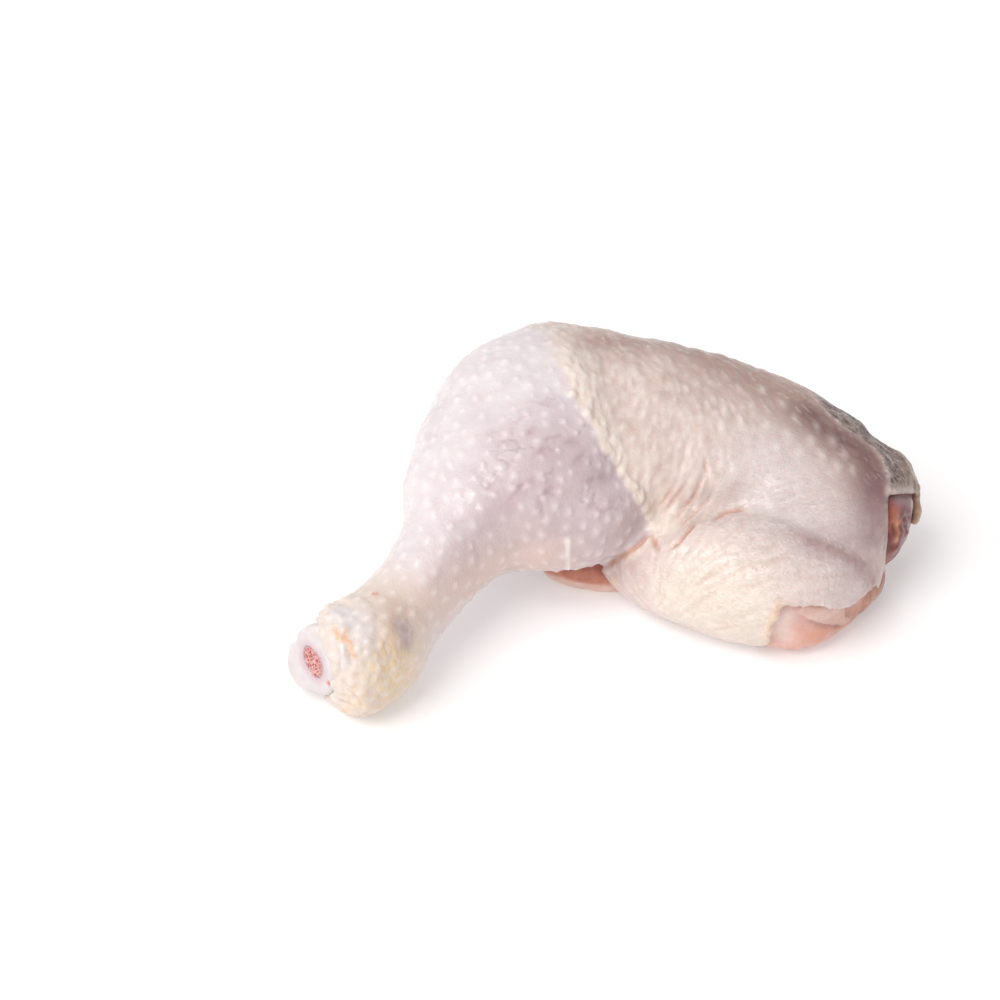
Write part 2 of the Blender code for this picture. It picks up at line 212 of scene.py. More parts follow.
VEIN_PIXELS = [
    [(497, 512), (512, 499), (520, 488), (535, 479), (549, 470)],
    [(528, 463), (540, 452), (548, 447), (556, 451), (563, 446)],
    [(566, 472), (575, 463), (584, 455), (588, 444)],
    [(578, 490), (590, 481), (601, 478), (612, 470)],
    [(560, 447), (572, 441), (585, 444)],
    [(540, 497), (552, 488), (561, 492)],
    [(520, 440), (531, 432), (540, 424)],
]
STRIP_PIXELS = [(560, 576), (580, 582), (604, 586)]
PEACH_LAYER_PIXELS = [(803, 610), (820, 618), (846, 621)]
UNDER_HEM_PIXELS = [(808, 606), (826, 611), (842, 613)]
WARM_PIXEL = (818, 636)
LOBE_CREASE_PIXELS = [(801, 613), (819, 624), (840, 625), (853, 617)]
RED_MEAT_PIXELS = [(899, 504), (903, 530), (897, 546)]
HIP_FOLD_PIXELS = [
    [(897, 509), (902, 510), (906, 514), (909, 521)],
    [(897, 514), (901, 516), (905, 522)],
    [(898, 522), (899, 530), (898, 541)],
    [(900, 524), (905, 526), (909, 527)],
    [(892, 519), (893, 528), (893, 540)],
]
HIP_FAR_PIXELS = [(909, 498), (910, 508), (910, 519)]
HIP_LUMP_PIXELS = [(906, 532), (893, 515), (901, 512), (896, 533), (897, 545)]
MEAT_BANDS = {
    "orange": ([(842, 622), (862, 606), (874, 594)], 7),
    "rose": ([(786, 611), (800, 615), (820, 622)], 3.5),
    "membrane": ([(898, 499), (907, 500)], 2.9),
    "hip_orange": ([(893, 512), (894, 524)], 2.2),
    "fat": ([(896, 525), (896, 538)], 1.3),
    "film": ([(786, 616), (782, 626), (781, 634)], 3),
}
RED_DOT_PIXEL = (329, 683)
# Bluish-white painted sheen on the ankle's wet skin
SHEEN_PATCH_SPOTS = [((364, 634), 5.5), ((354, 618), 4), ((340, 612), 3), ((345, 660), 3)]
RED_MARK_PIXEL = (375, 594)
FAT_LUMP_PIXELS = [(779, 606), (776, 613), (773, 620), (771, 628), (769, 636), (768, 644)]
# Where the drumstick's skin is mauve, darkened further as painted shade on its lower and right side
MAUVE_AND_SHADE_SPOTS = [
    ((535, 485), 17), ((575, 460), 17), ((600, 500), 17), ((560, 530), 19), ((595, 545), 13),
    ((470, 570), 9), ((508, 508), 10), ((630, 530), 8),
]
PEACH_PIXELS = [(395, 602), (430, 602), (465, 585), (495, 568), (540, 560)]
LOW_FLAP_SPOTS = [((720, 600), 17), ((745, 625), 12), ((680, 605), 12)]
PALE_PIXELS = [(775, 470), (810, 505), (845, 520)]
# Along the thigh's top: the fat's brown tone, with painted shade
BROWN_AND_SHADE_PIXELS = [(722, 362), (752, 376), (800, 402), (842, 432), (866, 462)]
# Painted shade along the thigh's top edge
TOP_EDGE_SHADE_PIXELS = [(604, 341), (645, 343), (700, 354), (760, 377)]
# A band of brownish skin before the net, darkened further as painted shade
RIDGE_BROWN_AND_SHADE_PIXELS = [(812, 416), (829, 429), (846, 441), (861, 453), (873, 468), (880, 486)]
# The thigh's right edge: plum tone, darkened as painted shade
PLUM_AND_SHADE_PIXELS = [(879, 492), (877, 508), (877, 524), (878, 536)]
SKIN_BANDS = {
    "bruise": ([(401, 626), (406, 634), (406, 642)], 2.6),
    "brown_patch": ([(396, 610), (391, 624), (391, 640)], 4.6),
    "shade": ([(812, 541), (832, 548), (848, 557), (862, 568), (873, 580)], 5),
    "web": ([(612, 576), (622, 572), (634, 566)], 4),
}
WEB_ORANGE_PIXEL = (615, 580)
TEAR_PIXELS = [
    (753, 405), (781, 403), (811, 441), (822, 455), (837, 466), (845, 453), (833, 441), (817, 426),
    (767, 424), (738, 390), (762, 388), (795, 418), (742, 420), (788, 436), (800, 452), (726, 408),
    (853, 470), (775, 448),
]
TEAR_TOP_PIXEL = (751, 396)
NET_EDGE_PIXELS = [
    (889, 489), (887, 473), (879, 455), (865, 442), (847, 428), (833, 416), (820, 404), (806, 392),
]
NET_PIXELS = [(878, 443), (905, 468), (903, 485)]
NET_PLACES = [(84, 15, 30), (86, 25, 15), (76, 34, 38), (80, 32, 10)]
TOP_PLACE = (-20, 43, 57)
LIP_PIXELS = [(891, 492), (901, 491), (911, 491)]
RIND_PIXELS = [(915, 497), (915, 510), (915, 521)]
KNUCKLE_PIXEL = (314, 662)
RIM_FOOT_PIXEL = (333, 696)
SCALE_SIZE = 1.7
SCALE_WAY = (-0.3, 0.4, 1)
WRINKLE_WAY = (1, -0.2, -0.35)
BRIGHT_SCALES_PIXEL = (396, 671)
ANKLE_CREASE_PIXELS = [
    [(334, 640), (339, 652), (340, 668), (338, 682)],
    [(344, 642), (350, 656), (351, 672)],
    [(341, 688), (352, 692), (361, 703), (363, 711)],
    [(337, 697), (348, 703), (360, 708)],
]
ANKLE_RIDGE_PIXELS = [[(339, 634), (344, 651), (345, 675)], [(333, 612), (340, 620), (342, 630)]]
ORANGE_PIXELS = [[(333, 629), (337, 634), (341, 640)], [(345, 632), (350, 644), (354, 656)]]
ANKLE_LUMP_PIXELS = [
    (366, 707), (374, 708), (382, 705), (389, 700), (396, 694), (330, 616), (338, 608), (350, 600),
]

# Colours as the picture shows them in soft light, some with their deeper blotches
LILAC = (229, 220, 221), (217, 205, 207)
# The mauve is partly the skin's own tint and partly painted shade
MAUVE_AND_SHADE = (209, 191, 193), (196, 177, 181)
PEACH = (222, 197, 186)
CREAM = (218, 202, 193), (199, 178, 171)
PALE = (220, 207, 206)
FLAP = (230, 211, 206), (219, 198, 195)
FLAP_CREAM = (236, 223, 210)
# Brown: partly the fat's own tone, partly painted shade
BROWN_AND_SHADE = (160, 129, 120)
# The band before the net: brown tone, mostly darkened as painted shade
RIDGE_BROWN_AND_SHADE = (120, 88, 86), (104, 73, 74)
# Plum: partly the skin's tone, partly painted shade
PLUM_AND_SHADE = (132, 99, 103)
SHADE = (176, 140, 140)
WEB = (196, 174, 166)
# The net's ground: dark skin, darker still as painted shade
NET_DARK_AND_SHADE = (96, 78, 76)
NET_LIGHT = (170, 157, 152)
NET_GOLD = (150, 126, 100)
LIP = (206, 190, 184)
RIND = (170, 138, 104)
# Pale follicles, also used as painted highlight on the tops of the fat's flakes
FOLLICLE_AND_HIGHLIGHT = (250, 242, 238)
# Creases: an orange tone deep in the folds, with painted shade
CREASE_ORANGE_AND_SHADE = (198, 142, 114)
# Painted shade in the grooves
GROOVE_SHADE = (206, 170, 154)
CREAM_PALE = (238, 224, 213)
# Veins, also used for the painted shade along the shank
VEIN_AND_SHADE = (176, 148, 154)
BRUISE = (158, 140, 148)
BROWN_PATCH = (198, 168, 152)
ANKLE = (223, 207, 195)
# Painted sheen on the ankle's wet skin
SHEEN_PATCH = (220, 214, 218)
ORANGE = (226, 168, 108)
YELLOW = (234, 201, 138)
FAT_YELLOW = (232, 196, 160)
BLOOD = (205, 92, 80)
PINK_MEAT = (232, 190, 178), (222, 166, 152)
ROSE_MEAT = (200, 150, 144)
WARM_MEAT = (222, 156, 128)
STRIP_MEAT = (214, 146, 122), (190, 118, 98)
TENDON = (236, 206, 192), (222, 184, 170)
ORANGE_MEAT = (205, 148, 124), (178, 116, 94)
RED_MEAT = (140, 54, 46), (100, 34, 32)
# Painted shade in the meat's folds
FOLD_SHADE = (100, 34, 32)
HIP_MEMBRANE = (160, 134, 134)
HIP_ORANGE = (178, 104, 78)
MEAT_FAT = (222, 160, 120)
MEAT_FILM = (240, 226, 220)
PEACH_LAYER = (230, 202, 188), (220, 182, 168)
GRISTLE = (219, 212, 211), (211, 202, 202)
GRISTLE_PINK = (204, 172, 181)
MARROW = (184, 74, 72)
MARROW_PALE = (222, 172, 164)
MARROW_DARK = (160, 56, 54)


class Flow:
    """An output of a material's nodes that takes plus, minus, times and powers."""

    def __init__(self, finish, socket):
        self.finish = finish
        self.socket = socket

    def math(self, operation, first, second=0.0):
        return self.finish.node("ShaderNodeMath", {"operation": operation}, {0: first, 1: second})

    def __add__(self, other):
        return self.math("ADD", self, other)

    def __sub__(self, other):
        return self.math("SUBTRACT", self, other)

    def __rsub__(self, other):
        return self.math("SUBTRACT", other, self)

    def __mul__(self, other):
        return self.math("MULTIPLY", self, other)

    def __pow__(self, other):
        return self.math("POWER", self, other)

    __radd__ = __add__
    __rmul__ = __mul__


class Finish:
    """A material in the making: a Principled BSDF and what feeds it."""

    def __init__(self, name, constants):
        self.material = bpy.data.materials.new(name)
        self.material.use_nodes = True
        self.tree = self.material.node_tree
        self.shader = self.tree.nodes["Principled BSDF"]
        self.set(constants)
        self.place = self.node("ShaderNodeTexCoord", {}, {}, "Object")

    def set(self, values):
        for socket, value in values.items():
            self.feed(self.shader.inputs[socket], value)

    def feed(self, socket, value):
        if isinstance(value, Flow):
            self.tree.links.new(value.socket, socket)
        else:
            socket.default_value = value

    def node(self, kind, settings, inputs, output=0):
        """A node with its settings and its sockets' values or links."""
        made = self.tree.nodes.new(kind)
        for setting, value in settings.items():
            if setting == "stops":
                set_stops(made.color_ramp, value)
            else:
                setattr(made, setting, value)
        for socket, value in inputs.items():
            self.feed(made.inputs[socket], value)
        return Flow(self, made.outputs[output])

    def painted(self, name):
        return self.node("ShaderNodeAttribute", {"attribute_name": name}, {}, "Fac")

    def noise(self, size, detail=2.0, roughness=0.5, distortion=0.0, place=None):
        """Cloudy noise with lumps of about the size in millimetres."""
        values = {"Scale": 1 / (size * MM), "Detail": detail, "Roughness": roughness}
        values["Distortion"] = distortion
        values["Vector"] = place or self.place
        return self.node("ShaderNodeTexNoise", {}, values, 0)

    def cells(self, size, feature="F1", place=None, output="Distance"):
        values = {"Scale": 1 / (size * MM), "Vector": place or self.place}
        return self.node("ShaderNodeTexVoronoi", {"feature": feature}, values, output)

    def bent(self, size):
        """The place, pushed about by noise, so that a regular pattern on it looks grown."""
        values = {"Scale": 1 / (size * MM), "Vector": self.place}
        push = self.node("ShaderNodeTexNoise", {}, values, "Color")
        centred = self.vector_math("SUBTRACT", {0: push, 1: (0.5, 0.5, 0.5)})
        scaled = self.vector_math("SCALE", {0: centred, "Scale": size * MM})
        return self.vector_math("ADD", {0: self.place, 1: scaled})

    def vector_math(self, operation, values):
        return self.node("ShaderNodeVectorMath", {"operation": operation}, values)

    def drawn_out(self, way, length, place):
        """The place, with what is patterned on it drawn out along a direction."""
        turn = tuple(Vector(way).to_track_quat("X", "Z").to_euler())
        inputs = {"Vector": place, "Rotation": turn, "Scale": (length, 1, 1)}
        return self.node("ShaderNodeMapping", {"vector_type": "TEXTURE"}, inputs)

    def steps(self, value, stops):
        """The value carried along a ramp of grey stops."""
        grey = [(spot, (level, level, level, 1)) for spot, level in stops]
        return self.node("ShaderNodeValToRGB", {"stops": grey}, {"Fac": value})

    def blotches(self, size, high=0.65):
        """Soft blotches of about the size in millimetres."""
        return self.steps(self.noise(size, 4, 0.6), [(0.35, 0), (high, 1)])

    def mix(self, share, first, second):
        """A blend of two colours, each three numbers or a link."""
        inputs = {0: share, 6: paint(first), 7: paint(second)}
        return self.node("ShaderNodeMix", {"data_type": "RGBA"}, inputs, 2)

    def coated(self, colour, layers):
        """The colour under layers of other colours, each given as its share and its colour."""
        for share, layer in layers:
            colour = self.mix(share, colour, layer)
        return colour

    def done(self, colour, height, distance, strength):
        """The material with its colour and its fine relief."""
        inputs = {"Height": height, "Distance": distance * MM, "Strength": strength}
        self.set({"Base Color": colour, "Normal": self.node("ShaderNodeBump", {}, inputs)})
        return self.material


def set_stops(ramp, stops):
    while len(ramp.elements) < len(stops):
        ramp.elements.new(0.5)
    for element, (spot, colour) in zip(ramp.elements, stops):
        element.position = spot
        element.color = colour


def paint(colour):
    """A colour from 0 to 255 as a shader's linear colour; a link stays a link."""
    if isinstance(colour, Flow):
        return colour
    shares = [value / 255 for value in colour]
    linear = [part / 12.92 if part < 0.04 else ((part + 0.055) / 1.055) ** 2.4 for part in shares]
    return (*linear, 1)


def lattice(cells, seed):
    """A number from 0 to 1 for each whole-number cell, always the same for a seed."""
    mixed = cells @ np.array(CELL_FACTORS) + seed * SEED_FACTOR
    mixed = (mixed ^ (mixed >> 13)) * MIX_FACTOR
    return ((mixed ^ (mixed >> 16)) & 0xFFFF) / 0xFFFF


def cloud(spots, size, seed=0):
    """Soft noise from -1 to 1 whose lumps are about so many millimetres."""
    low = np.floor(spots / size).astype(np.int64)
    part = spots / size - low
    part = part * part * (3 - 2 * part)
    total = np.zeros(len(spots))
    for corner in itertools.product((0, 1), repeat=3):
        share = np.prod(np.where(corner, part, 1 - part), axis=1)
        total += share * lattice(low + np.array(corner), seed)
    return total * 2 - 1


def rising(values, low, high):
    """0 below the low value, 1 above the high one, and smooth between."""
    share = np.clip((values - low) / (high - low), 0, 1)
    return share * share * (3 - 2 * share)


def bell(away, reach, power=2):
    """1 at no distance, about a third at the reach, and next to nothing well past it."""
    return np.exp(-((away / reach) ** power))


def way_to(spots, route):
    """Each spot's distance from a route of straight runs, and its place along it."""
    nearest = np.full(len(spots), np.inf)
    along = np.zeros(len(spots))
    travelled = 0.0
    for start, end in zip(route[:-1], route[1:]):
        run = end - start
        length = np.linalg.norm(run)
        share = np.clip((spots - start) @ run / length**2, 0, 1)
        away = np.linalg.norm(spots - start - share[:, None] * run, axis=1)
        closer = away < nearest
        nearest = np.where(closer, away, nearest)
        along = np.where(closer, travelled + share * length, along)
        travelled += length
    return nearest, along


def smooth_route(corners, step=1.5):
    """A route through the corners, rounded, with a point about every step."""
    corners = np.array(corners)
    spots = [corners[0]]
    for index in range(len(corners) - 1):
        before = corners[max(index - 1, 0)]
        start, end = corners[index], corners[index + 1]
        after = corners[min(index + 2, len(corners) - 1)]
        count = max(2, int(np.linalg.norm(end - start) / step))
        for place in np.arange(1, count + 1) / count:
            bend = 2 * before - 5 * start + 4 * end - after
            twist = 3 * (start - end) + after - before
            spots.append(start + 0.5 * place * (end - before + place * (bend + place * twist)))
    return np.array(spots)


def camera_axes():
    back = Vector((0, -math.cos(ELEVATION), math.sin(ELEVATION)))
    right = Vector((1, 0, 0))
    return back, right, back.cross(right)


def eye_place():
    return Vector(AIM) + camera_axes()[0] * (PICTURE_WIDTH * LENS / SENSOR)


def node_tree(names, unit=1.0):
    """Some CAD nodes together, in metres or in another unit, to measure to and to look at."""
    spots, faces = [], []
    for name in names:
        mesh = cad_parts[name].data
        start = len(spots)
        spots += [vert.co / unit for vert in mesh.vertices]
        faces += [[start + corner for corner in face.vertices] for face in mesh.polygons]
    return BVHTree.FromPolygons(spots, faces)


SOLIDS = node_tree(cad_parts, MM)


def seen(pixel):
    """The place on the leg that the camera sees at a pixel."""
    back, right, up = camera_axes()
    middle = PICTURE_PIXELS / 2
    lens = PICTURE_PIXELS * LENS / SENSOR
    ray = right * (pixel[0] - middle) - up * (pixel[1] - middle) - back * lens
    spot = SOLIDS.ray_cast(eye_place(), ray.normalized())[0]
    if spot is None:
        raise ValueError(f"the leg isn't seen at {pixel}")
    return np.array(spot)


def seen_route(pixels):
    return smooth_route([seen(pixel) for pixel in pixels])


def marks(pixels, places):
    """Places on one side of a route: what is seen at some pixels, and some more."""
    return [seen(pixel) for pixel in pixels] + places


def new_piece(name, mesh):
    piece = bpy.data.objects.new(name, mesh)
    bpy.context.scene.collection.objects.link(piece)
    return piece


def mesh_from(bm, name):
    mesh = bpy.data.meshes.new(name)
    bm.to_mesh(mesh)
    bm.free()
    return mesh


def node_copy(node, name):
    """A merged copy of a CAD node."""
    bm = bmesh.new()
    bm.from_mesh(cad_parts[node].data)
    bmesh.ops.remove_doubles(bm, verts=bm.verts, dist=0.001 * MM)
    return new_piece(name, mesh_from(bm, node))


def baked(piece):
    """The piece with its modifiers applied."""
    graph = bpy.context.evaluated_depsgraph_get()
    mesh = bpy.data.meshes.new_from_object(piece.evaluated_get(graph))
    piece.modifiers.clear()
    piece.data = mesh
    return piece


def remeshed(node, name, voxel, smoothing):
    """A CAD node's form as a new piece: a fine even mesh, with its facets smoothed away."""
    piece = node_copy(node, name)
    remesh = piece.modifiers.new("Remesh", "REMESH")
    remesh.mode = "VOXEL"
    remesh.voxel_size = voxel * MM
    smooth = piece.modifiers.new("Smooth", "SMOOTH")
    smooth.factor = 0.5
    smooth.iterations = smoothing
    return baked(piece)


class Surface:
    """A piece's mesh as arrays, in millimetres, to raise and to paint."""

    def __init__(self, piece):
        self.mesh = piece.data
        self.spots = self.read("co") / MM
        self.normals = self.read("normal")
        self.height = np.zeros(len(self.spots))
        self.tree = kd_tree(self.spots)

    def read(self, name):
        values = np.empty(len(self.mesh.vertices) * 3, np.float32)
        self.mesh.vertices.foreach_get(name, values)
        return values.reshape(-1, 3).astype(float)

    def away(self, pixel):
        """Each spot's distance from what is seen at a pixel."""
        return np.linalg.norm(self.spots - seen(pixel), axis=1)

    def near(self, pixel, reach):
        """A soft round patch about what is seen at a pixel."""
        return bell(self.away(pixel), reach)

    def patches(self, pixels, reach):
        """Soft round patches of one reach about what is seen at some pixels."""
        return soft_union([self.near(pixel, reach) for pixel in pixels])

    def along(self, pixels, reach):
        """A soft band along a route of pixels."""
        return bell(way_to(self.spots, seen_route(pixels))[0], reach)

    def crease(self, pixels, depth, width, taper):
        """Presses in a line with a low lip at each side, and returns a soft band along it."""
        route = seen_route(pixels)
        away, place = way_to(self.spots, route)
        length = np.linalg.norm(np.diff(route, axis=0), axis=1).sum()
        share = place / length
        strength = rising(share, 0, taper) * rising(1 - share, 0, taper)
        line = bell(away, width) * strength
        lip = bell(away - CREASE_LIP_AWAY * width, width) * strength
        self.height += depth * (CREASE_LIP_SHARE * lip - line)
        return bell(away, CREASE_REACH) * strength

    def bumps(self, seeds, sizes, heights, ways, stretch):
        """Adds an oval bump at each seed vertex and returns their shape from 0 to 1."""
        shape = np.zeros(len(self.spots))
        lift = np.zeros(len(self.spots))
        for seed, size, height, way, longer in zip(seeds, sizes, heights, ways, stretch):
            found = self.tree.find_range(self.spots[seed], size * longer * BUMP_REACH)
            index = np.array([hit[1] for hit in found])
            offset = self.spots[index] - self.spots[seed]
            run = offset @ way
            across = np.sum(offset**2, axis=1) - run**2
            bump = np.exp(-((run / (size * longer)) ** 2) - across / size**2)
            shape[index] = np.maximum(shape[index], bump)
            lift[index] = np.maximum(lift[index], height * bump)
        self.height += lift
        return shape

    def write(self):
        """Moves the surface by its height along its normals."""
        moved = (self.spots + self.normals * self.height[:, None]) * MM
        self.mesh.vertices.foreach_set("co", moved.astype(np.float32).ravel())
        self.mesh.update()

    def settle(self):
        """Fades the relief out over the lowest millimetre, so that the piece still lies flat."""
        self.height *= np.clip(self.spots[:, 2], 0, 1)

    def paint(self, name, values):
        layer = self.mesh.attributes.new(name, "FLOAT", "POINT")
        layer.data.foreach_set("value", np.clip(values, 0, 1).astype(np.float32))

    def paint_bands(self, bands):
        for name, (pixels, reach) in bands.items():
            self.paint(name, self.along(pixels, reach))


def kd_tree(spots):
    tree = KDTree(len(spots))
    for index, spot in enumerate(spots):
        tree.insert(spot, index)
    tree.balance()
    return tree


def scattered(spots, allowed, spacing, random):
    """Vertices spread so that no two are nearer than the spacing there."""
    order = random.permutation(np.flatnonzero(allowed))
    widest = spacing[order].max()
    taken = {}
    chosen = []
    for index in order:
        spot = spots[index]
        cell = tuple((spot // widest).astype(int))
        beside = itertools.product(*[(part - 1, part, part + 1) for part in cell])
        close = [other for key in beside for other in taken.get(key, ())]
        if all(np.sum((spots[other] - spot) ** 2) > spacing[index] ** 2 for other in close):
            taken.setdefault(cell, []).append(index)
            chosen.append(index)
    return np.array(chosen)


def past_route(surface, pixels, this_side, far_side):
    """The distance past a route on the skin, below 0 on this side of it.

    Each vertex takes the side of the marker nearest to it. Markers stand in
    pairs along the route, and singly in the places given for either side.
    """
    route = seen_route(pixels)
    markers = [(spot, -1) for spot in this_side] + [(spot, 1) for spot in far_side]
    for spot, way in zip(route, unit(np.gradient(route, axis=0))):
        normal = surface.normals[surface.tree.find(spot)[1]]
        step = SIDE_STEP * np.cross(way, normal)
        markers += [(spot + step, 1), (spot - step, -1)]
    tree = kd_tree([spot for spot, side in markers])
    sides = np.array([markers[tree.find(spot)[1]][1] for spot in surface.spots])
    return sides * way_to(surface.spots, route)[0]


def unit(vectors):
    return vectors / np.maximum(np.linalg.norm(vectors, axis=1), 1e-9)[:, None]


def grain_ways(surface):
    """The way the skin's grain runs at each vertex, blended from strokes between two pixels."""
    total = np.zeros((len(surface.spots), 3))
    for start, end in GRAIN_PIXELS:
        first, second = seen(start), seen(end)
        away = np.linalg.norm(surface.spots - (first + second) / 2, axis=1)
        stroke = (second - first) / np.linalg.norm(second - first)
        total += stroke / (away[:, None] + GRAIN_BLEND) ** 3
    total -= surface.normals * np.sum(total * surface.normals, axis=1)[:, None]
    return unit(total)


def gaps_to(nodes, spots):
    """Each spot's distance from the nearest of some CAD nodes."""
    tree = node_tree(nodes)
    return np.array([tree.find_nearest(Vector(spot) * MM)[3] for spot in spots]) / MM


def neighbours(vert):
    return {link.other_vert(vert) for link in vert.link_edges}


def thin_hidden(piece, covers):
    """Leaves few faces where other nodes cover the piece, away from their edges."""
    cover = node_tree(covers)
    start = INNER_GAP * MM
    reach = 3 * INNER_GAP * MM

    def covered(vert):
        return cover.ray_cast(vert.co - vert.normal * start, vert.normal, reach)[0]

    bm = bmesh.new()
    bm.from_mesh(piece.data)
    inside = {vert for vert in bm.verts if covered(vert)}
    for ring in range(EDGE_RINGS):
        inside -= {vert for vert in inside if not neighbours(vert) <= inside}
    share = len(inside) / len(bm.verts)
    group = piece.vertex_groups.new(name="inside")
    group.add([vert.index for vert in inside], 1.0, "REPLACE")
    bm.free()
    decimate = piece.modifiers.new("Decimate", "DECIMATE")
    decimate.ratio = 1 - share * (1 - INNER_SHARE)
    decimate.vertex_group = group.name
    baked(piece)
    piece.vertex_groups.clear()


def thinned(piece, triangles):
    """The piece with about so many triangles left, more of them where it is uneven."""
    count = sum(len(face.vertices) - 2 for face in piece.data.polygons)
    decimate = piece.modifiers.new("Decimate", "DECIMATE")
    decimate.ratio = min(1.0, triangles / count)
    return baked(piece)


def without_scraps(piece):
    """The piece without the loose scraps of mesh that remeshing and thinning leave."""
    bm = bmesh.new()
    bm.from_mesh(piece.data)
    unseen = set(bm.verts)
    scraps = set()
    while unseen:
        island = set()
        front = {unseen.pop()}
        while front:
            island |= front
            front = {other for vert in front for other in neighbours(vert)} - island
        unseen -= island
        if len(island) <= SCRAP_CORNERS:
            scraps |= island
    bmesh.ops.delete(bm, geom=list(scraps), context="VERTS")
    bm.to_mesh(piece.data)
    bm.free()
    return piece


class Regions:
    """Where each kind of skin is, as shares from 0 to 1 for each vertex of the skin."""

    def __init__(self, surface):
        gaps = gaps_to(["meat", "knuckle"], surface.spots)
        self.outer = rising(gaps, INNER_GAP, 1.8 * INNER_GAP)
        self.from_face = surface.away(KNUCKLE_PIXEL)
        self.ankle = 1 - rising(self.from_face, 24, 38)
        self.mauve = soft_union([surface.near(*spot) for spot in MAUVE_AND_SHADE_SPOTS])
        self.low_flap = soft_union([surface.near(*spot) for spot in LOW_FLAP_SPOTS])
        thigh = marks(THIGH_PIXELS, THIGH_PLACES)
        flap = marks(FLAP_PIXELS, FLAP_PLACES)
        self.find_fat(surface, thigh)
        past_valley = past_route(surface, FLAP_TOP_PIXELS, thigh[:THIGH_ABOVE_FLAP], flap)
        self.flap = self.cream * rising(past_valley, -1, 2)
        self.pale = surface.patches(PALE_PIXELS, 17) * self.cream
        self.find_net(surface, thigh[:THIGH_BEFORE_NET] + flap)
        self.find_browns(surface)

    def find_fat(self, surface, thigh):
        """The thigh's cream fat: it starts at a ragged edge with lobes, and gradually behind."""
        spots = surface.spots
        x, y, z = spots.T
        top_x, top_y, top_z = TOP_PLACE
        ragged = 0.7 * cloud(spots, 3.2, 1) + 0.9 * cloud(spots, 7, 2)
        drum = marks(DRUM_PIXELS, DRUM_PLACES)
        self.past_edge = past_route(surface, FOLD_PIXELS + FAT_EDGE_PIXELS, drum, thigh) + ragged
        softness = 1 + 8 * rising(y, 20, 48)
        lobes = [bell(surface.away(pixel), LOBE_SPREAD * reach, 3) for pixel, reach in LOBE_SPOTS]
        self.lobes = np.max(lobes, axis=0)
        sharp = rising(self.past_edge / softness, -0.4, 1.0)
        self.cream = np.maximum(sharp, rising(self.lobes, 0.25, 0.55))
        behind = rising(y + 0.8 * (top_z - z), 42, 62)
        past_back_edge = x - top_x + 0.3 * (y - top_y)
        gradual = rising(past_back_edge + 5 * cloud(spots, 9, 19), -16, 16)
        self.cream += (gradual - self.cream) * behind
        beside_edge = (1 - rising(self.past_edge, 3, 12)) * rising(self.past_edge, -2, 1)
        self.plump = self.cream * beside_edge * (1 - rising(y, 36, 50))

    def find_net(self, surface, this_side):
        """The netted skin beyond the thigh's ridge, dark partly of itself and partly as painted shade,
        which fades out behind.
        """
        spots = surface.spots
        near_hip = rising(spots[:, 0] + 5 * cloud(spots, 6, 22), 50, 63)
        past_net = past_route(surface, NET_EDGE_PIXELS, this_side, marks(NET_PIXELS, NET_PLACES))
        from_edge = np.abs(past_net) + 4 * cloud(spots, 5, 21)
        self.net = rising(past_net, -1.6, 1.0) * near_hip * (1 - rising(from_edge, 10, 27))

    def find_browns(self, surface):
        """The fat's brown tone along the top and behind, darkened there as painted shade, and a band of
        brown tone and painted shade before the net.
        """
        spots = surface.spots
        fat = self.cream * (1 - self.net)
        # Partly painted shade: the fat turns browner and darker towards the back
        back = (0.42 + 0.25 * cloud(spots, 9, 20)) * rising(spots[:, 1], 18, 48)
        brown = np.maximum(surface.along(BROWN_AND_SHADE_PIXELS, 15), back) * rising(spots[:, 0], -25, 15)
        # The top edge is darkened as painted shade
        self.brown = soft_union([brown, 0.85 * surface.along(TOP_EDGE_SHADE_PIXELS, 7)]) * fat
        # A band of brown tone and painted shade before the net
        self.dusk = surface.along(RIDGE_BROWN_AND_SHADE_PIXELS, 7) * fat


def soft_union(shares):
    return 1 - np.prod([1 - share for share in shares], axis=0)


def add_follicles(surface, regions, ways, random):
    """Plump follicles: round on the drumstick, longer and denser on the fat."""
    cream, flap, pale = regions.cream, regions.flap, regions.pale
    near_edge = bell(regions.past_edge - 2, 7) * cream
    quiet = soft_union([regions.dusk, regions.net, 0.5 * regions.brown])
    spacing = FOLLICLE_SPACING - 1.2 * cream - 0.4 * near_edge
    spacing += 3.5 * quiet + 2.0 * pale + 1.5 * flap - 0.5 * regions.ankle * (1 - cream)
    spacing *= 0.94 + 0.28 * cloud(surface.spots, 3.5, 6)
    seeds = scattered(surface.spots, regions.outer > OUTER_LEAST, spacing, random)
    sizes = (FOLLICLE_SIZE + 0.1 * cream)[seeds] * random.uniform(0.7, 1.25, len(seeds))
    high = FOLLICLE_HEIGHT - 0.12 * cream - 0.3 * (pale + flap) - 0.36 * quiet
    high -= 0.14 * regions.ankle
    heights = np.clip(high[seeds], 0.04, 1) * random.uniform(0.35, 1.25, len(seeds))
    longer = 1.25 + 0.6 * cream - 0.3 * near_edge
    stretch = longer[seeds] * random.uniform(0.9, 1.2, len(seeds))
    shape = surface.bumps(seeds, sizes, heights, ways[seeds], stretch)
    strength = 0.34 - 0.14 * cream - 0.1 * flap - 0.1 * pale - 0.2 * quiet
    return shape**1.5 * np.clip(strength, 0, 1)


def add_tears(surface, random):
    """Follicles on the thigh that are drawn out like tears."""
    tears = np.array([surface.tree.find(seen(pixel))[1] for pixel in TEAR_PIXELS])
    count = len(tears)
    fall = unit(np.tile(seen(TEAR_PIXELS[0]) - seen(TEAR_TOP_PIXEL), (count, 1)))
    sizes = random.uniform(1.0, 1.4, count)
    heights = np.full(count, TEAR_HEIGHT)
    return 0.28 * surface.bumps(tears, sizes, heights, fall, np.full(count, TEAR_STRETCH))


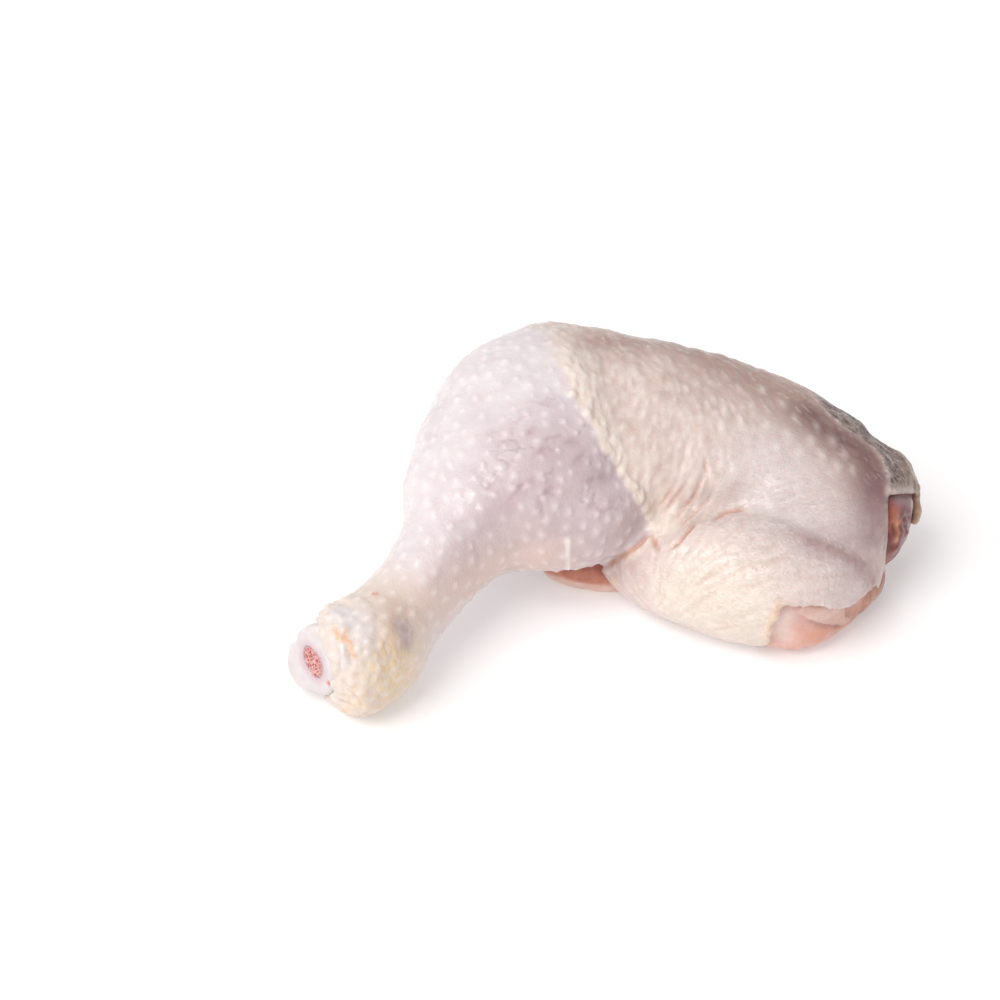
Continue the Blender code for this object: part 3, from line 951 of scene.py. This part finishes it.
def streaks(spots, ways, width, length, seed):
    """Noise drawn out along the grain, from about -1 to 1."""
    steps = np.linspace(-0.5, 0.5, STREAK_STEPS) * length
    total = sum(cloud(spots + step * ways, width, seed) for step in steps)
    return np.clip(total / (2 * total.std()), -1.5, 1.5)


def add_flakes(surface, regions, ways):
    """The fat's fine flakes and its wrinkles by the knee; returns their grooves, painted as shade, and
    the tops, painted as highlight.
    """
    spots, cream = surface.spots, regions.cream
    fan = surface.near(FAN_PIXEL, 13) * cream * (1 - regions.flap)
    flakes = cream * (1 - 0.75 * regions.flap) * (1 - 0.7 * regions.pale) * (1 - 0.3 * fan)
    fine = streaks(spots, ways, *FINE_FLAKES)
    surface.height += 0.19 * flakes * fine
    surface.height += 0.1 * flakes * streaks(spots, ways, *COARSE_FLAKES)
    wrinkles = np.clip(1 - 1.6 * np.abs(streaks(spots, ways, *FAN_WRINKLES)), 0, 1)
    wrinkles *= np.maximum(fan, 0.5 * surface.near(FLAP_FAN_PIXEL, 12) * cream)
    surface.height -= 0.26 * wrinkles
    # The grooves between the flakes, to be painted as shade
    grooves = flakes * np.clip(-1.2 * fine, 0, 1)
    # The flakes' tops are returned to be painted as highlight
    return soft_union([0.6 * grooves, 0.6 * wrinkles]), flakes * rising(fine, 0.45, 1.0)


def add_fibres(surface, regions, ways):
    """Folds across the grain and fibres along it; returns the grooves between the flap's fibres,
    painted as shade.
    """
    spots, flap = surface.spots, regions.flap
    folds = 1 - 1.7 * np.abs(streaks(spots, np.cross(ways, surface.normals), *CROSS_FOLDS))
    smooth = flap + 0.6 * regions.pale * (1 - flap)
    surface.height -= 0.16 * smooth * np.clip(folds, 0, 1)
    fibres = streaks(spots, ways, *FLAP_FIBRES)
    surface.height += 0.2 * flap * fibres
    surface.height += 0.3 * regions.net * streaks(spots, ways, *NET_FIBRES)
    return flap * np.clip(-0.7 * fibres, 0, 1)


def add_threads(surface, regions):
    """Thin sunk lines, like threads under the drumstick's skin."""
    spots = surface.spots
    thin = (1 - regions.cream) * surface.patches(THREAD_PIXELS, 11)
    lines = 1 - np.abs(cloud(spots, 3.4, 45) + 0.35 * cloud(spots, 1.6, 47)) / 0.2
    lines = thin * np.clip(lines, 0, 1) * rising(cloud(spots, 6, 46), -0.1, 0.35)
    surface.height -= 0.4 * lines
    return lines


def scaly_share(surface, regions):
    """Where the ankle has yellow scales: all round it, and most on its front."""
    spots = surface.spots
    round_ankle = rising(regions.from_face, 12, 17) * (1 - rising(regions.from_face, 25, 34))
    amount = 0.4 * round_ankle * (1 - rising(spots[:, 2], 15, 24))
    amount = np.maximum(amount, surface.near(BRIGHT_SCALES_PIXEL, 9))
    amount *= rising(regions.from_face, 9, 12) * (1 - regions.cream)
    return amount * (0.8 + 0.5 * cloud(spots, 6, 9))


def add_creases(surface):
    """The folds between drumstick, thigh and flap, and the wrinkles that fan out from them."""
    deep = [surface.crease(pixels, *DEEP_CREASE) for pixels in (VALLEY_PIXELS, KNEE_FOLD_PIXELS)]
    deep.append(surface.crease(FOLD_PIXELS, *FOLD_CREASE))
    deep.append(surface.crease(SHORT_CREASE_PIXELS, *SHORT_CREASE))
    fine = [surface.crease(pixels, *FAN_CREASE) for pixels in FAN_PIXELS]
    surface.crease(RIDGE_PIXELS, *RIDGE_CREASE)
    fine += [0.83 * surface.crease(pixels, *FLAP_LINE) for pixels in FLAP_LINE_PIXELS]
    for pixels in PALE_LINE_PIXELS:
        surface.crease(pixels, *PALE_LINE)
    fine += [0.85 * surface.crease(pixels, *ANKLE_CREASE) for pixels in ANKLE_CREASE_PIXELS]
    return soft_union(deep), np.max(fine, axis=0)


def add_ankle_folds(surface, regions, random):
    """Ridges, lumps and a ragged rim of bunched skin behind the knuckle."""
    ridges = [surface.along(pixels, 0.8) for pixels in ANKLE_RIDGE_PIXELS]
    surface.height += ANKLE_RIDGE_HEIGHT * soft_union(ridges)
    surface.height += ANKLE_LUMP_HEIGHT * surface.patches(ANKLE_LUMP_PIXELS, 1.4)
    bunched = rising(regions.from_face, 8, 11) * (1 - rising(regions.from_face, 19, 27))
    allowed = (bunched > 0.2) & (regions.outer > OUTER_LEAST)
    spacing = np.full(len(bunched), BUNCH_SPACING)
    seeds = scattered(surface.spots, allowed, spacing, random)
    count = len(seeds)
    ways = np.tile(unit(np.array([BUNCH_WAY])), (count, 1))
    heights = BUNCH_HEIGHT * bunched[seeds] * random.uniform(0.2, 1, count)
    sizes = random.uniform(0.8, 1.2, count)
    surface.bumps(seeds, sizes, heights, ways, random.uniform(1, 2, count))
    rim = bell(gaps_to(["knuckle"], surface.spots), 2.4)
    surface.height += rim * (0.4 + 1.3 * cloud(surface.spots, 1.7, 51))


def add_veins(surface):
    """Thin dark veins under the drumstick's skin, and one pale strip along it."""
    lines = [surface.crease(pixels, *VEIN_CREASE) for pixels in VEIN_PIXELS]
    strip = surface.along(STRIP_RIDGE_PIXELS, 0.75)
    surface.height += STRIP_HEIGHT * strip
    return 0.75 * soft_union(lines), strip


def add_rims(surface):
    """The rims at the hip and the lumps of fat at the hem, as shares to paint by name."""
    spots = surface.spots
    lumps = surface.patches(FAT_LUMP_PIXELS, 1.5)
    surface.height += lumps * (0.7 + 1.1 * cloud(spots, 2.0, 5))
    net_edge = surface.along(NET_EDGE_PIXELS, 0.9) * rising(cloud(spots, 2.5, 13), -0.7, 0.2)
    lip = surface.along(LIP_PIXELS, 1.5) * (1 + 0.5 * cloud(spots, 2.4, 16))
    rind = surface.along(RIND_PIXELS, 3.2)
    surface.height += 0.2 * net_edge + 0.4 * lip + rind * cloud(spots, 1.8, 14)
    golden = soft_union([0.7 * lumps, surface.near(WEB_ORANGE_PIXEL, 1.1)])
    return {"net_edge": net_edge, "lip": lip, "rind": rind, "golden": golden}


def raise_skin(surface, regions):
    """Gives the skin its relief; returns what of it shows in colour, as shares by name."""
    random = np.random.default_rng(SKIN_SEED)
    spots = surface.spots
    ways = grain_ways(surface)
    follicles = add_follicles(surface, regions, ways, random)
    follicles = np.maximum(follicles, add_tears(surface, random))
    grooves, flakes = add_flakes(surface, regions, ways)
    lined = add_fibres(surface, regions, ways)
    threads = add_threads(surface, regions)
    surface.height += LOBE_HEIGHT * regions.lobes + PLUMP_HEIGHT * regions.plump
    loose = 0.15 + 0.35 * regions.cream
    surface.height += loose * (0.7 * cloud(spots, 11, 3) + 0.4 * cloud(spots, 5, 4))
    creases, fine_creases = add_creases(surface)
    add_ankle_folds(surface, regions, random)
    veins, strip = add_veins(surface)
    shares = add_rims(surface)
    surface.height *= regions.outer
    surface.height += shares["rind"] + 1.1 * surface.near(RIM_FOOT_PIXEL, 1.7)
    surface.settle()
    # Painted shade along the shank's lower side, painted with the veins
    shank_shade = surface.along(SHANK_SHADE_PIXELS, 3.4)
    # Follicles and the pale strip, with painted highlight on the tops of the flakes
    shares["follicle"] = soft_union([follicles, 0.6 * strip, 0.22 * flakes])
    shares["crease"] = creases
    shares["fine_crease"] = fine_creases
    # Painted shade in the grooves
    shares["groove"] = soft_union([grooves, lined])
    # Veins and threads, with a little painted shade along the shank
    shares["vein"] = soft_union([0.7 * veins, 0.5 * threads, 0.25 * shank_shade])
    return shares


def patch_shares(surface, regions):
    """The skin's coloured patches, as shares by name."""
    return {
        "plump": np.maximum(regions.lobes, 0.8 * regions.plump),
        # Bluish-white painted sheen on the ankle's wet skin
        "white_patch": soft_union([surface.near(*spot) for spot in SHEEN_PATCH_SPOTS]),
        "orange": soft_union([surface.along(pixels, 1.5) for pixels in ORANGE_PIXELS]),
        "peach": surface.along(PEACH_PIXELS, 9) * (1 - regions.cream),
        "scaly": scaly_share(surface, regions),
        "net_gold": rising(surface.spots[:, 0], 80, 87),
        # Plum tone with painted shade along the thigh's right edge
        "plum": surface.along(PLUM_AND_SHADE_PIXELS, 6.5) * (1 - regions.net),
        "blood": 0.7 * surface.near(RED_MARK_PIXEL, 0.9),
    }


def make_skin():
    skin = remeshed("skin", "leg_skin", SKIN_VOXEL, SKIN_SMOOTHING)
    thin_hidden(skin, ["meat", "knuckle"])
    surface = Surface(skin)
    regions = Regions(surface)
    shares = raise_skin(surface, regions) | patch_shares(surface, regions)
    surface.write()
    for name, share in shares.items():
        surface.paint(name, share)
    for name in ("cream", "mauve", "flap", "low_flap", "pale", "brown", "net", "dusk", "ankle"):
        surface.paint(name, getattr(regions, name))
    surface.paint_bands(SKIN_BANDS)
    return without_scraps(thinned(skin, SKIN_TRIANGLES))


def skin_ground(finish, mottle):
    """Lilac skin over the muscle, cream skin over the fat, and the paler flap."""
    thin = finish.mix(mottle, *LILAC)
    # The mauve tint, with painted shade on the drumstick's lower and right side
    thin = finish.mix(finish.painted("mauve"), thin, finish.mix(mottle, *MAUVE_AND_SHADE))
    fat = finish.mix(finish.blotches(6, 0.7), *CREAM)
    fat = finish.mix(finish.painted("plump") * 0.8, fat, CREAM_PALE)
    flap = finish.mix(finish.painted("low_flap"), finish.mix(mottle, *FLAP), FLAP_CREAM)
    colour = finish.mix(finish.painted("cream"), thin, fat)
    return finish.mix(finish.painted("flap"), colour, flap)


def skin_wrinkles(finish):
    """The finest wrinkles of the flap and the pale skin."""
    place = finish.drawn_out(WRINKLE_WAY, 3.5, finish.bent(5))
    lines = finish.steps(finish.noise(1.3, 3, 0.6, 0.5, place), [(0.42, 0), (0.5, 1), (0.58, 0)])
    return lines * (finish.painted("flap") + finish.painted("pale") * 0.8)


def skin_finish():
    """Translucent raw skin with everything that is painted on it."""
    finish = Finish("raw skin", {
        "Roughness": 0.42, "IOR": 1.4, "Coat Roughness": 0.14,
        "Subsurface Weight": 0.3, "Subsurface Scale": 0.0022, "Subsurface Radius": (1.0, 0.5, 0.4),
    })
    painted = finish.painted
    mottle = finish.blotches(9, 0.68)
    fine = finish.noise(1.4, 3, 0.6)
    scaly = painted("scaly")
    ovals = finish.cells(SCALE_SIZE, "F1", finish.drawn_out(SCALE_WAY, 1.5, finish.place))
    scales = scaly * finish.steps(ovals, [(0.3, 1), (0.6, 0)])
    fine_lines = painted("fine_crease") ** 6 * finish.steps(fine, [(0.3, 0.2), (0.6, 1)])
    colour = finish.coated(skin_ground(finish, mottle), [
        (painted("peach") * 0.8, PEACH),
        (painted("ankle") * 0.85, ANKLE),
        (painted("pale") * 0.85, PALE),
        # Brown tone with painted shade along the thigh's top and back
        (painted("brown") * 0.85, BROWN_AND_SHADE),
        # The band before the net: brown tone and painted shade
        (painted("dusk") * 0.85, finish.mix(mottle, *RIDGE_BROWN_AND_SHADE)),
        # Plum tone with painted shade along the thigh's right edge
        (painted("plum") * 0.7, PLUM_AND_SHADE),
        (painted("shade") * 0.75, SHADE),
        (painted("web") * 0.7, WEB),
        (painted("net"), net_colour(finish)),
        (painted("net_edge") ** 3 * finish.steps(fine, [(0.35, 0), (0.6, 0.8)]), LIP),
        (painted("rind") * 0.85, RIND),
        (painted("lip") * 0.8, LIP),
        (painted("brown_patch") * 0.6, BROWN_PATCH),
        # Painted sheen on the ankle
        (painted("white_patch") * 0.7, SHEEN_PATCH),
        (painted("orange") ** 4 * finish.steps(fine, [(0.35, 0.25), (0.65, 1)]), ORANGE),
        # Follicles, with painted highlight on the flakes' tops
        (painted("follicle"), FOLLICLE_AND_HIGHLIGHT),
        (scaly * 0.35, YELLOW),
        (scales * 0.8, YELLOW),
        (painted("golden"), FAT_YELLOW),
        # Painted shade in the grooves
        (painted("groove") * 0.4, GROOVE_SHADE),
        # Fine lines and deep creases: their orange tone, with painted shade
        (fine_lines * 0.55, CREASE_ORANGE_AND_SHADE),
        (painted("crease") ** 4 * 0.85, CREASE_ORANGE_AND_SHADE),
        # Veins and threads, with painted shade along the shank
        (painted("vein") * (0.5 + fine), VEIN_AND_SHADE),
        (painted("bruise") * (0.2 + fine * 0.8), BRUISE),
        (painted("blood"), BLOOD),
    ])
    wet = finish.steps(finish.noise(5, 3), [(0.35, 0.1), (0.65, 0.5)]) + painted("flap") * 0.15
    finish.set({"Coat Weight": wet})
    net = painted("net") * finish.steps(finish.noise(0.9, 3), [(0.35, 0), (0.65, 1)])
    pores = fine + finish.noise(0.6, 2) * 0.5
    relief = pores - fine_lines * 0.8 - skin_wrinkles(finish) * 0.8 + net + scales * 1.5
    return finish.done(colour, relief, 0.35, 0.5)


def net_colour(finish):
    """Skin that is dark partly of itself and partly as painted shade, under a net of pale fibres that
    run with it, turning golden at the hip's end.
    """
    way = seen(NET_EDGE_PIXELS[-2]) - seen(NET_EDGE_PIXELS[1])
    cells = finish.cells(1.25, "DISTANCE_TO_EDGE", finish.drawn_out(way, 3.0, finish.bent(2.2)))
    fibre = finish.steps(cells, [(0.0, 1), (0.1, 0.45), (0.28, 0)])
    patchy = finish.steps(finish.noise(3, 2), [(0.3, 0.2), (0.7, 1)])
    # The dark ground is partly painted shade
    ground = finish.mix(finish.painted("net_gold") * 0.8, NET_DARK_AND_SHADE, NET_GOLD)
    return finish.mix(fibre * patchy, ground, NET_LIGHT)


def raise_meat(surface):
    """Gives the meat its relief; returns its creases, which are painted as shade, and its raised
    layers, as two shares.
    """
    spots = surface.spots
    surface.height = 0.5 * cloud(spots, 7, 11) + 0.3 * cloud(spots, 3.2, 12)
    folds = [0.9 * surface.crease(pixels, *HIP_FOLD) for pixels in HIP_FOLD_PIXELS]
    surface.height += 0.9 * surface.patches(HIP_LUMP_PIXELS, 1.9)
    folds.append(0.6 * surface.crease(LOBE_CREASE_PIXELS, *LOBE_CREASE))
    layers = [surface.along(pixels, 1.7) for pixels in (PEACH_LAYER_PIXELS, UNDER_HEM_PIXELS)]
    raised = soft_union(layers) * (0.85 + 0.3 * cloud(spots, 1.6, 23))
    surface.height += rising(raised, 0.35, 0.6) * (0.35 + 0.3 * cloud(spots, 1.8, 15))
    surface.height += 0.5 * surface.along(HIP_FAR_PIXELS, 3)
    surface.height *= rising(gaps_to(["skin"], spots), 0.5, 2.0)
    surface.settle()
    return soft_union(folds), raised


def make_meat():
    """The meat, with its own relief wherever no skin covers it."""
    meat = remeshed("meat", "leg_meat", MEAT_VOXEL, MEAT_SMOOTHING)
    thin_hidden(meat, ["skin"])
    surface = Surface(meat)
    x, y, z = surface.spots.T
    deep, raised = raise_meat(surface)
    surface.write()
    surface.paint_bands(MEAT_BANDS)
    surface.paint("deep", deep)
    surface.paint("layer", raised)
    surface.paint("warm", surface.near(WARM_PIXEL, 4))
    surface.paint("red", np.maximum(surface.along(RED_MEAT_PIXELS, 9), rising(x, 66, 74)))
    strip = surface.along(STRIP_PIXELS, 14)
    surface.paint("strip", strip)
    surface.paint("tendon", strip * (1 - rising(z, 3.4, 4.6)))
    return without_scraps(meat)


def meat_finish():
    """Wet raw muscle: pink, dark red at the hip, orange where it has dried."""
    finish = Finish("raw meat", {
        "Roughness": 0.3, "IOR": 1.36, "Coat Roughness": 0.1, "Coat Weight": 0.4,
        "Subsurface Weight": 0.25, "Subsurface Scale": 0.0015, "Subsurface Radius": (1.0, 0.3, 0.2),
    })
    painted = finish.painted
    cloudy = finish.blotches(4)
    fibres = finish.noise(1.1, 3, 0.6, 1.5)
    layer = finish.steps(painted("layer") + fibres * 0.25, [(0.5, 0), (0.68, 0.7)])
    colour = finish.coated(finish.mix(cloudy, *PINK_MEAT), [
        (painted("strip"), finish.mix(cloudy, *STRIP_MEAT)),
        (painted("tendon"), finish.mix(cloudy, *TENDON)),
        (painted("rose") * 0.6, ROSE_MEAT),
        (painted("red"), finish.mix(cloudy, *RED_MEAT)),
        (painted("orange"), finish.mix(cloudy, *ORANGE_MEAT)),
        (painted("warm") * 0.7, WARM_MEAT),
        (layer, finish.mix(cloudy, *PEACH_LAYER)),
        (painted("hip_orange") * 0.8, HIP_ORANGE),
        (painted("fat") * 0.8, MEAT_FAT),
        (painted("membrane") * 0.9, HIP_MEMBRANE),
        # Painted shade in the meat's folds
        (painted("deep") ** 3, FOLD_SHADE),
        (painted("film") * (0.32 + fibres * 0.64), MEAT_FILM),
    ])
    return finish.done(colour, fibres + cloudy * 0.5, 0.3, 0.5)


def make_knuckle():
    """The cut knuckle, waxy and white round the bone."""
    knuckle = remeshed("knuckle", "cut_knuckle", KNUCKLE_VOXEL, KNUCKLE_SMOOTHING)
    surface = Surface(knuckle)
    from_bone = gaps_to(["bone"], surface.spots)
    surface.height = 0.25 * cloud(surface.spots, 4, 21) + 0.08 * cloud(surface.spots, 1.8, 22)
    surface.height += 0.25 * (from_bone < 0.6)
    surface.write()
    surface.paint("halo", 1 - rising(from_bone, 0.6, 3.0))
    surface.paint("blood", surface.near(RED_DOT_PIXEL, 0.7))
    return knuckle


def knuckle_finish():
    """Bluish white gristle with a pink halo round the marrow."""
    finish = Finish("gristle", {
        "Roughness": 0.3, "IOR": 1.45, "Coat Roughness": 0.1, "Coat Weight": 0.5,
        "Subsurface Weight": 0.4, "Subsurface Scale": 0.002, "Subsurface Radius": (1.0, 0.6, 0.5),
    })
    colour = finish.coated(finish.mix(finish.blotches(3), *GRISTLE), [
        (finish.painted("halo") * 0.6, GRISTLE_PINK),
        (finish.painted("blood"), BLOOD),
    ])
    return finish.done(colour, finish.noise(0.8, 3, 0.6), 0.2, 0.4)


def make_bone():
    """The sawn bone, spongy at its cut end."""
    bone = remeshed("bone", "sawn_bone", BONE_VOXEL, BONE_SMOOTHING)
    surface = Surface(bone)
    spots = surface.spots
    surface.height = 0.3 + 0.2 * cloud(spots, 1.1, 31) + 0.12 * cloud(spots, 0.6, 32)
    surface.write()
    surface.paint("rim", 1 - rising(gaps_to(["knuckle"], spots), 0.2, 1.1))
    return bone


def bone_finish():
    """Red marrow in a net of pale spongy bone."""
    finish = Finish("marrow", {
        "Roughness": 0.35, "Coat Roughness": 0.15, "Coat Weight": 0.4,
        "Subsurface Weight": 0.3, "Subsurface Scale": 0.0015, "Subsurface Radius": (1.0, 0.4, 0.3),
    })
    net = finish.cells(1.0, "DISTANCE_TO_EDGE", finish.bent(0.8))
    sponge = finish.steps(net, [(0.06, 1), (0.26, 0)])
    colour = finish.coated(finish.mix(sponge, MARROW, MARROW_PALE), [
        (finish.steps(finish.noise(2, 3), [(0.55, 0), (0.66, 0.6)]), MARROW_DARK),
        (finish.painted("rim") * 0.7, GRISTLE_PINK),
    ])
    return finish.done(colour, sponge, 0.25, 0.7)


def dress(piece, node, material):
    """Gives a piece its finish, and lets it stand for its CAD node."""
    piece.data.materials.clear()
    piece.data.materials.append(material)
    piece.data.polygons.foreach_set("use_smooth", [True] * len(piece.data.polygons))
    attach(piece, "root")
    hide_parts(node)


def make_floor():
    bm = bmesh.new()
    bmesh.ops.create_grid(bm, x_segments=1, y_segments=1, size=FLOOR_SIZE)
    bmesh.ops.translate(bm, verts=bm.verts, vec=(0, 0, -FLOOR_GAP * MM))
    floor = new_piece("floor", mesh_from(bm, "floor"))
    finish = Finish("white floor", {"Base Color": FLOOR_COLOUR, "Roughness": 0.7})
    finish.set({"Emission Color": (1, 1, 1, 1), "Emission Strength": FLOOR_GLOW})
    floor.data.materials.append(finish.material)


def add_light():
    """A square soft light, a way off along its direction, that faces the leg."""
    light = bpy.data.lights.new("key", "AREA")
    light.size = LIGHT_SIZE
    light.energy = LIGHT_POWER
    lamp = bpy.data.objects.new("key", light)
    bpy.context.scene.collection.objects.link(lamp)
    level = math.cos(LIGHT_HEIGHT)
    away = Vector((math.sin(LIGHT_TURN) * level, -math.cos(LIGHT_TURN) * level, math.sin(LIGHT_HEIGHT)))
    lamp.location = away * LIGHT_DISTANCE
    lamp.rotation_euler = away.to_track_quat("Z", "Y").to_euler()


def make_world():
    """Even pale light, white where the camera looks at it."""
    world = bpy.data.worlds.new("studio")
    world.use_nodes = True
    bpy.context.scene.world = world
    tree = world.node_tree
    path = tree.nodes.new("ShaderNodeLightPath")
    strength = tree.nodes.new("ShaderNodeMapRange")
    strength.inputs["To Min"].default_value = WORLD_STRENGTH
    strength.inputs["To Max"].default_value = 1.0
    tree.links.new(path.outputs["Is Camera Ray"], strength.inputs["Value"])
    background = tree.nodes["Background"]
    background.inputs["Color"].default_value = WORLD_COLOUR
    tree.links.new(strength.outputs["Result"], background.inputs["Strength"])


def make_camera():
    data = bpy.data.cameras.new("camera")
    data.lens = LENS
    data.sensor_width = SENSOR
    camera = bpy.data.objects.new("camera", data)
    back, right, up = camera_axes()
    turn = Matrix((right, up, back)).transposed().to_4x4()
    camera.matrix_world = Matrix.Translation(eye_place() * MM) @ turn
    bpy.context.scene.collection.objects.link(camera)
    bpy.context.scene.camera = camera


make_camera()
make_world()
make_floor()
add_light()
bpy.context.scene.view_settings.view_transform = "Standard"

dress(make_skin(), "skin", skin_finish())
dress(make_meat(), "meat", meat_finish())
dress(make_knuckle(), "knuckle", knuckle_finish())
dress(make_bone(), "bone", bone_finish())
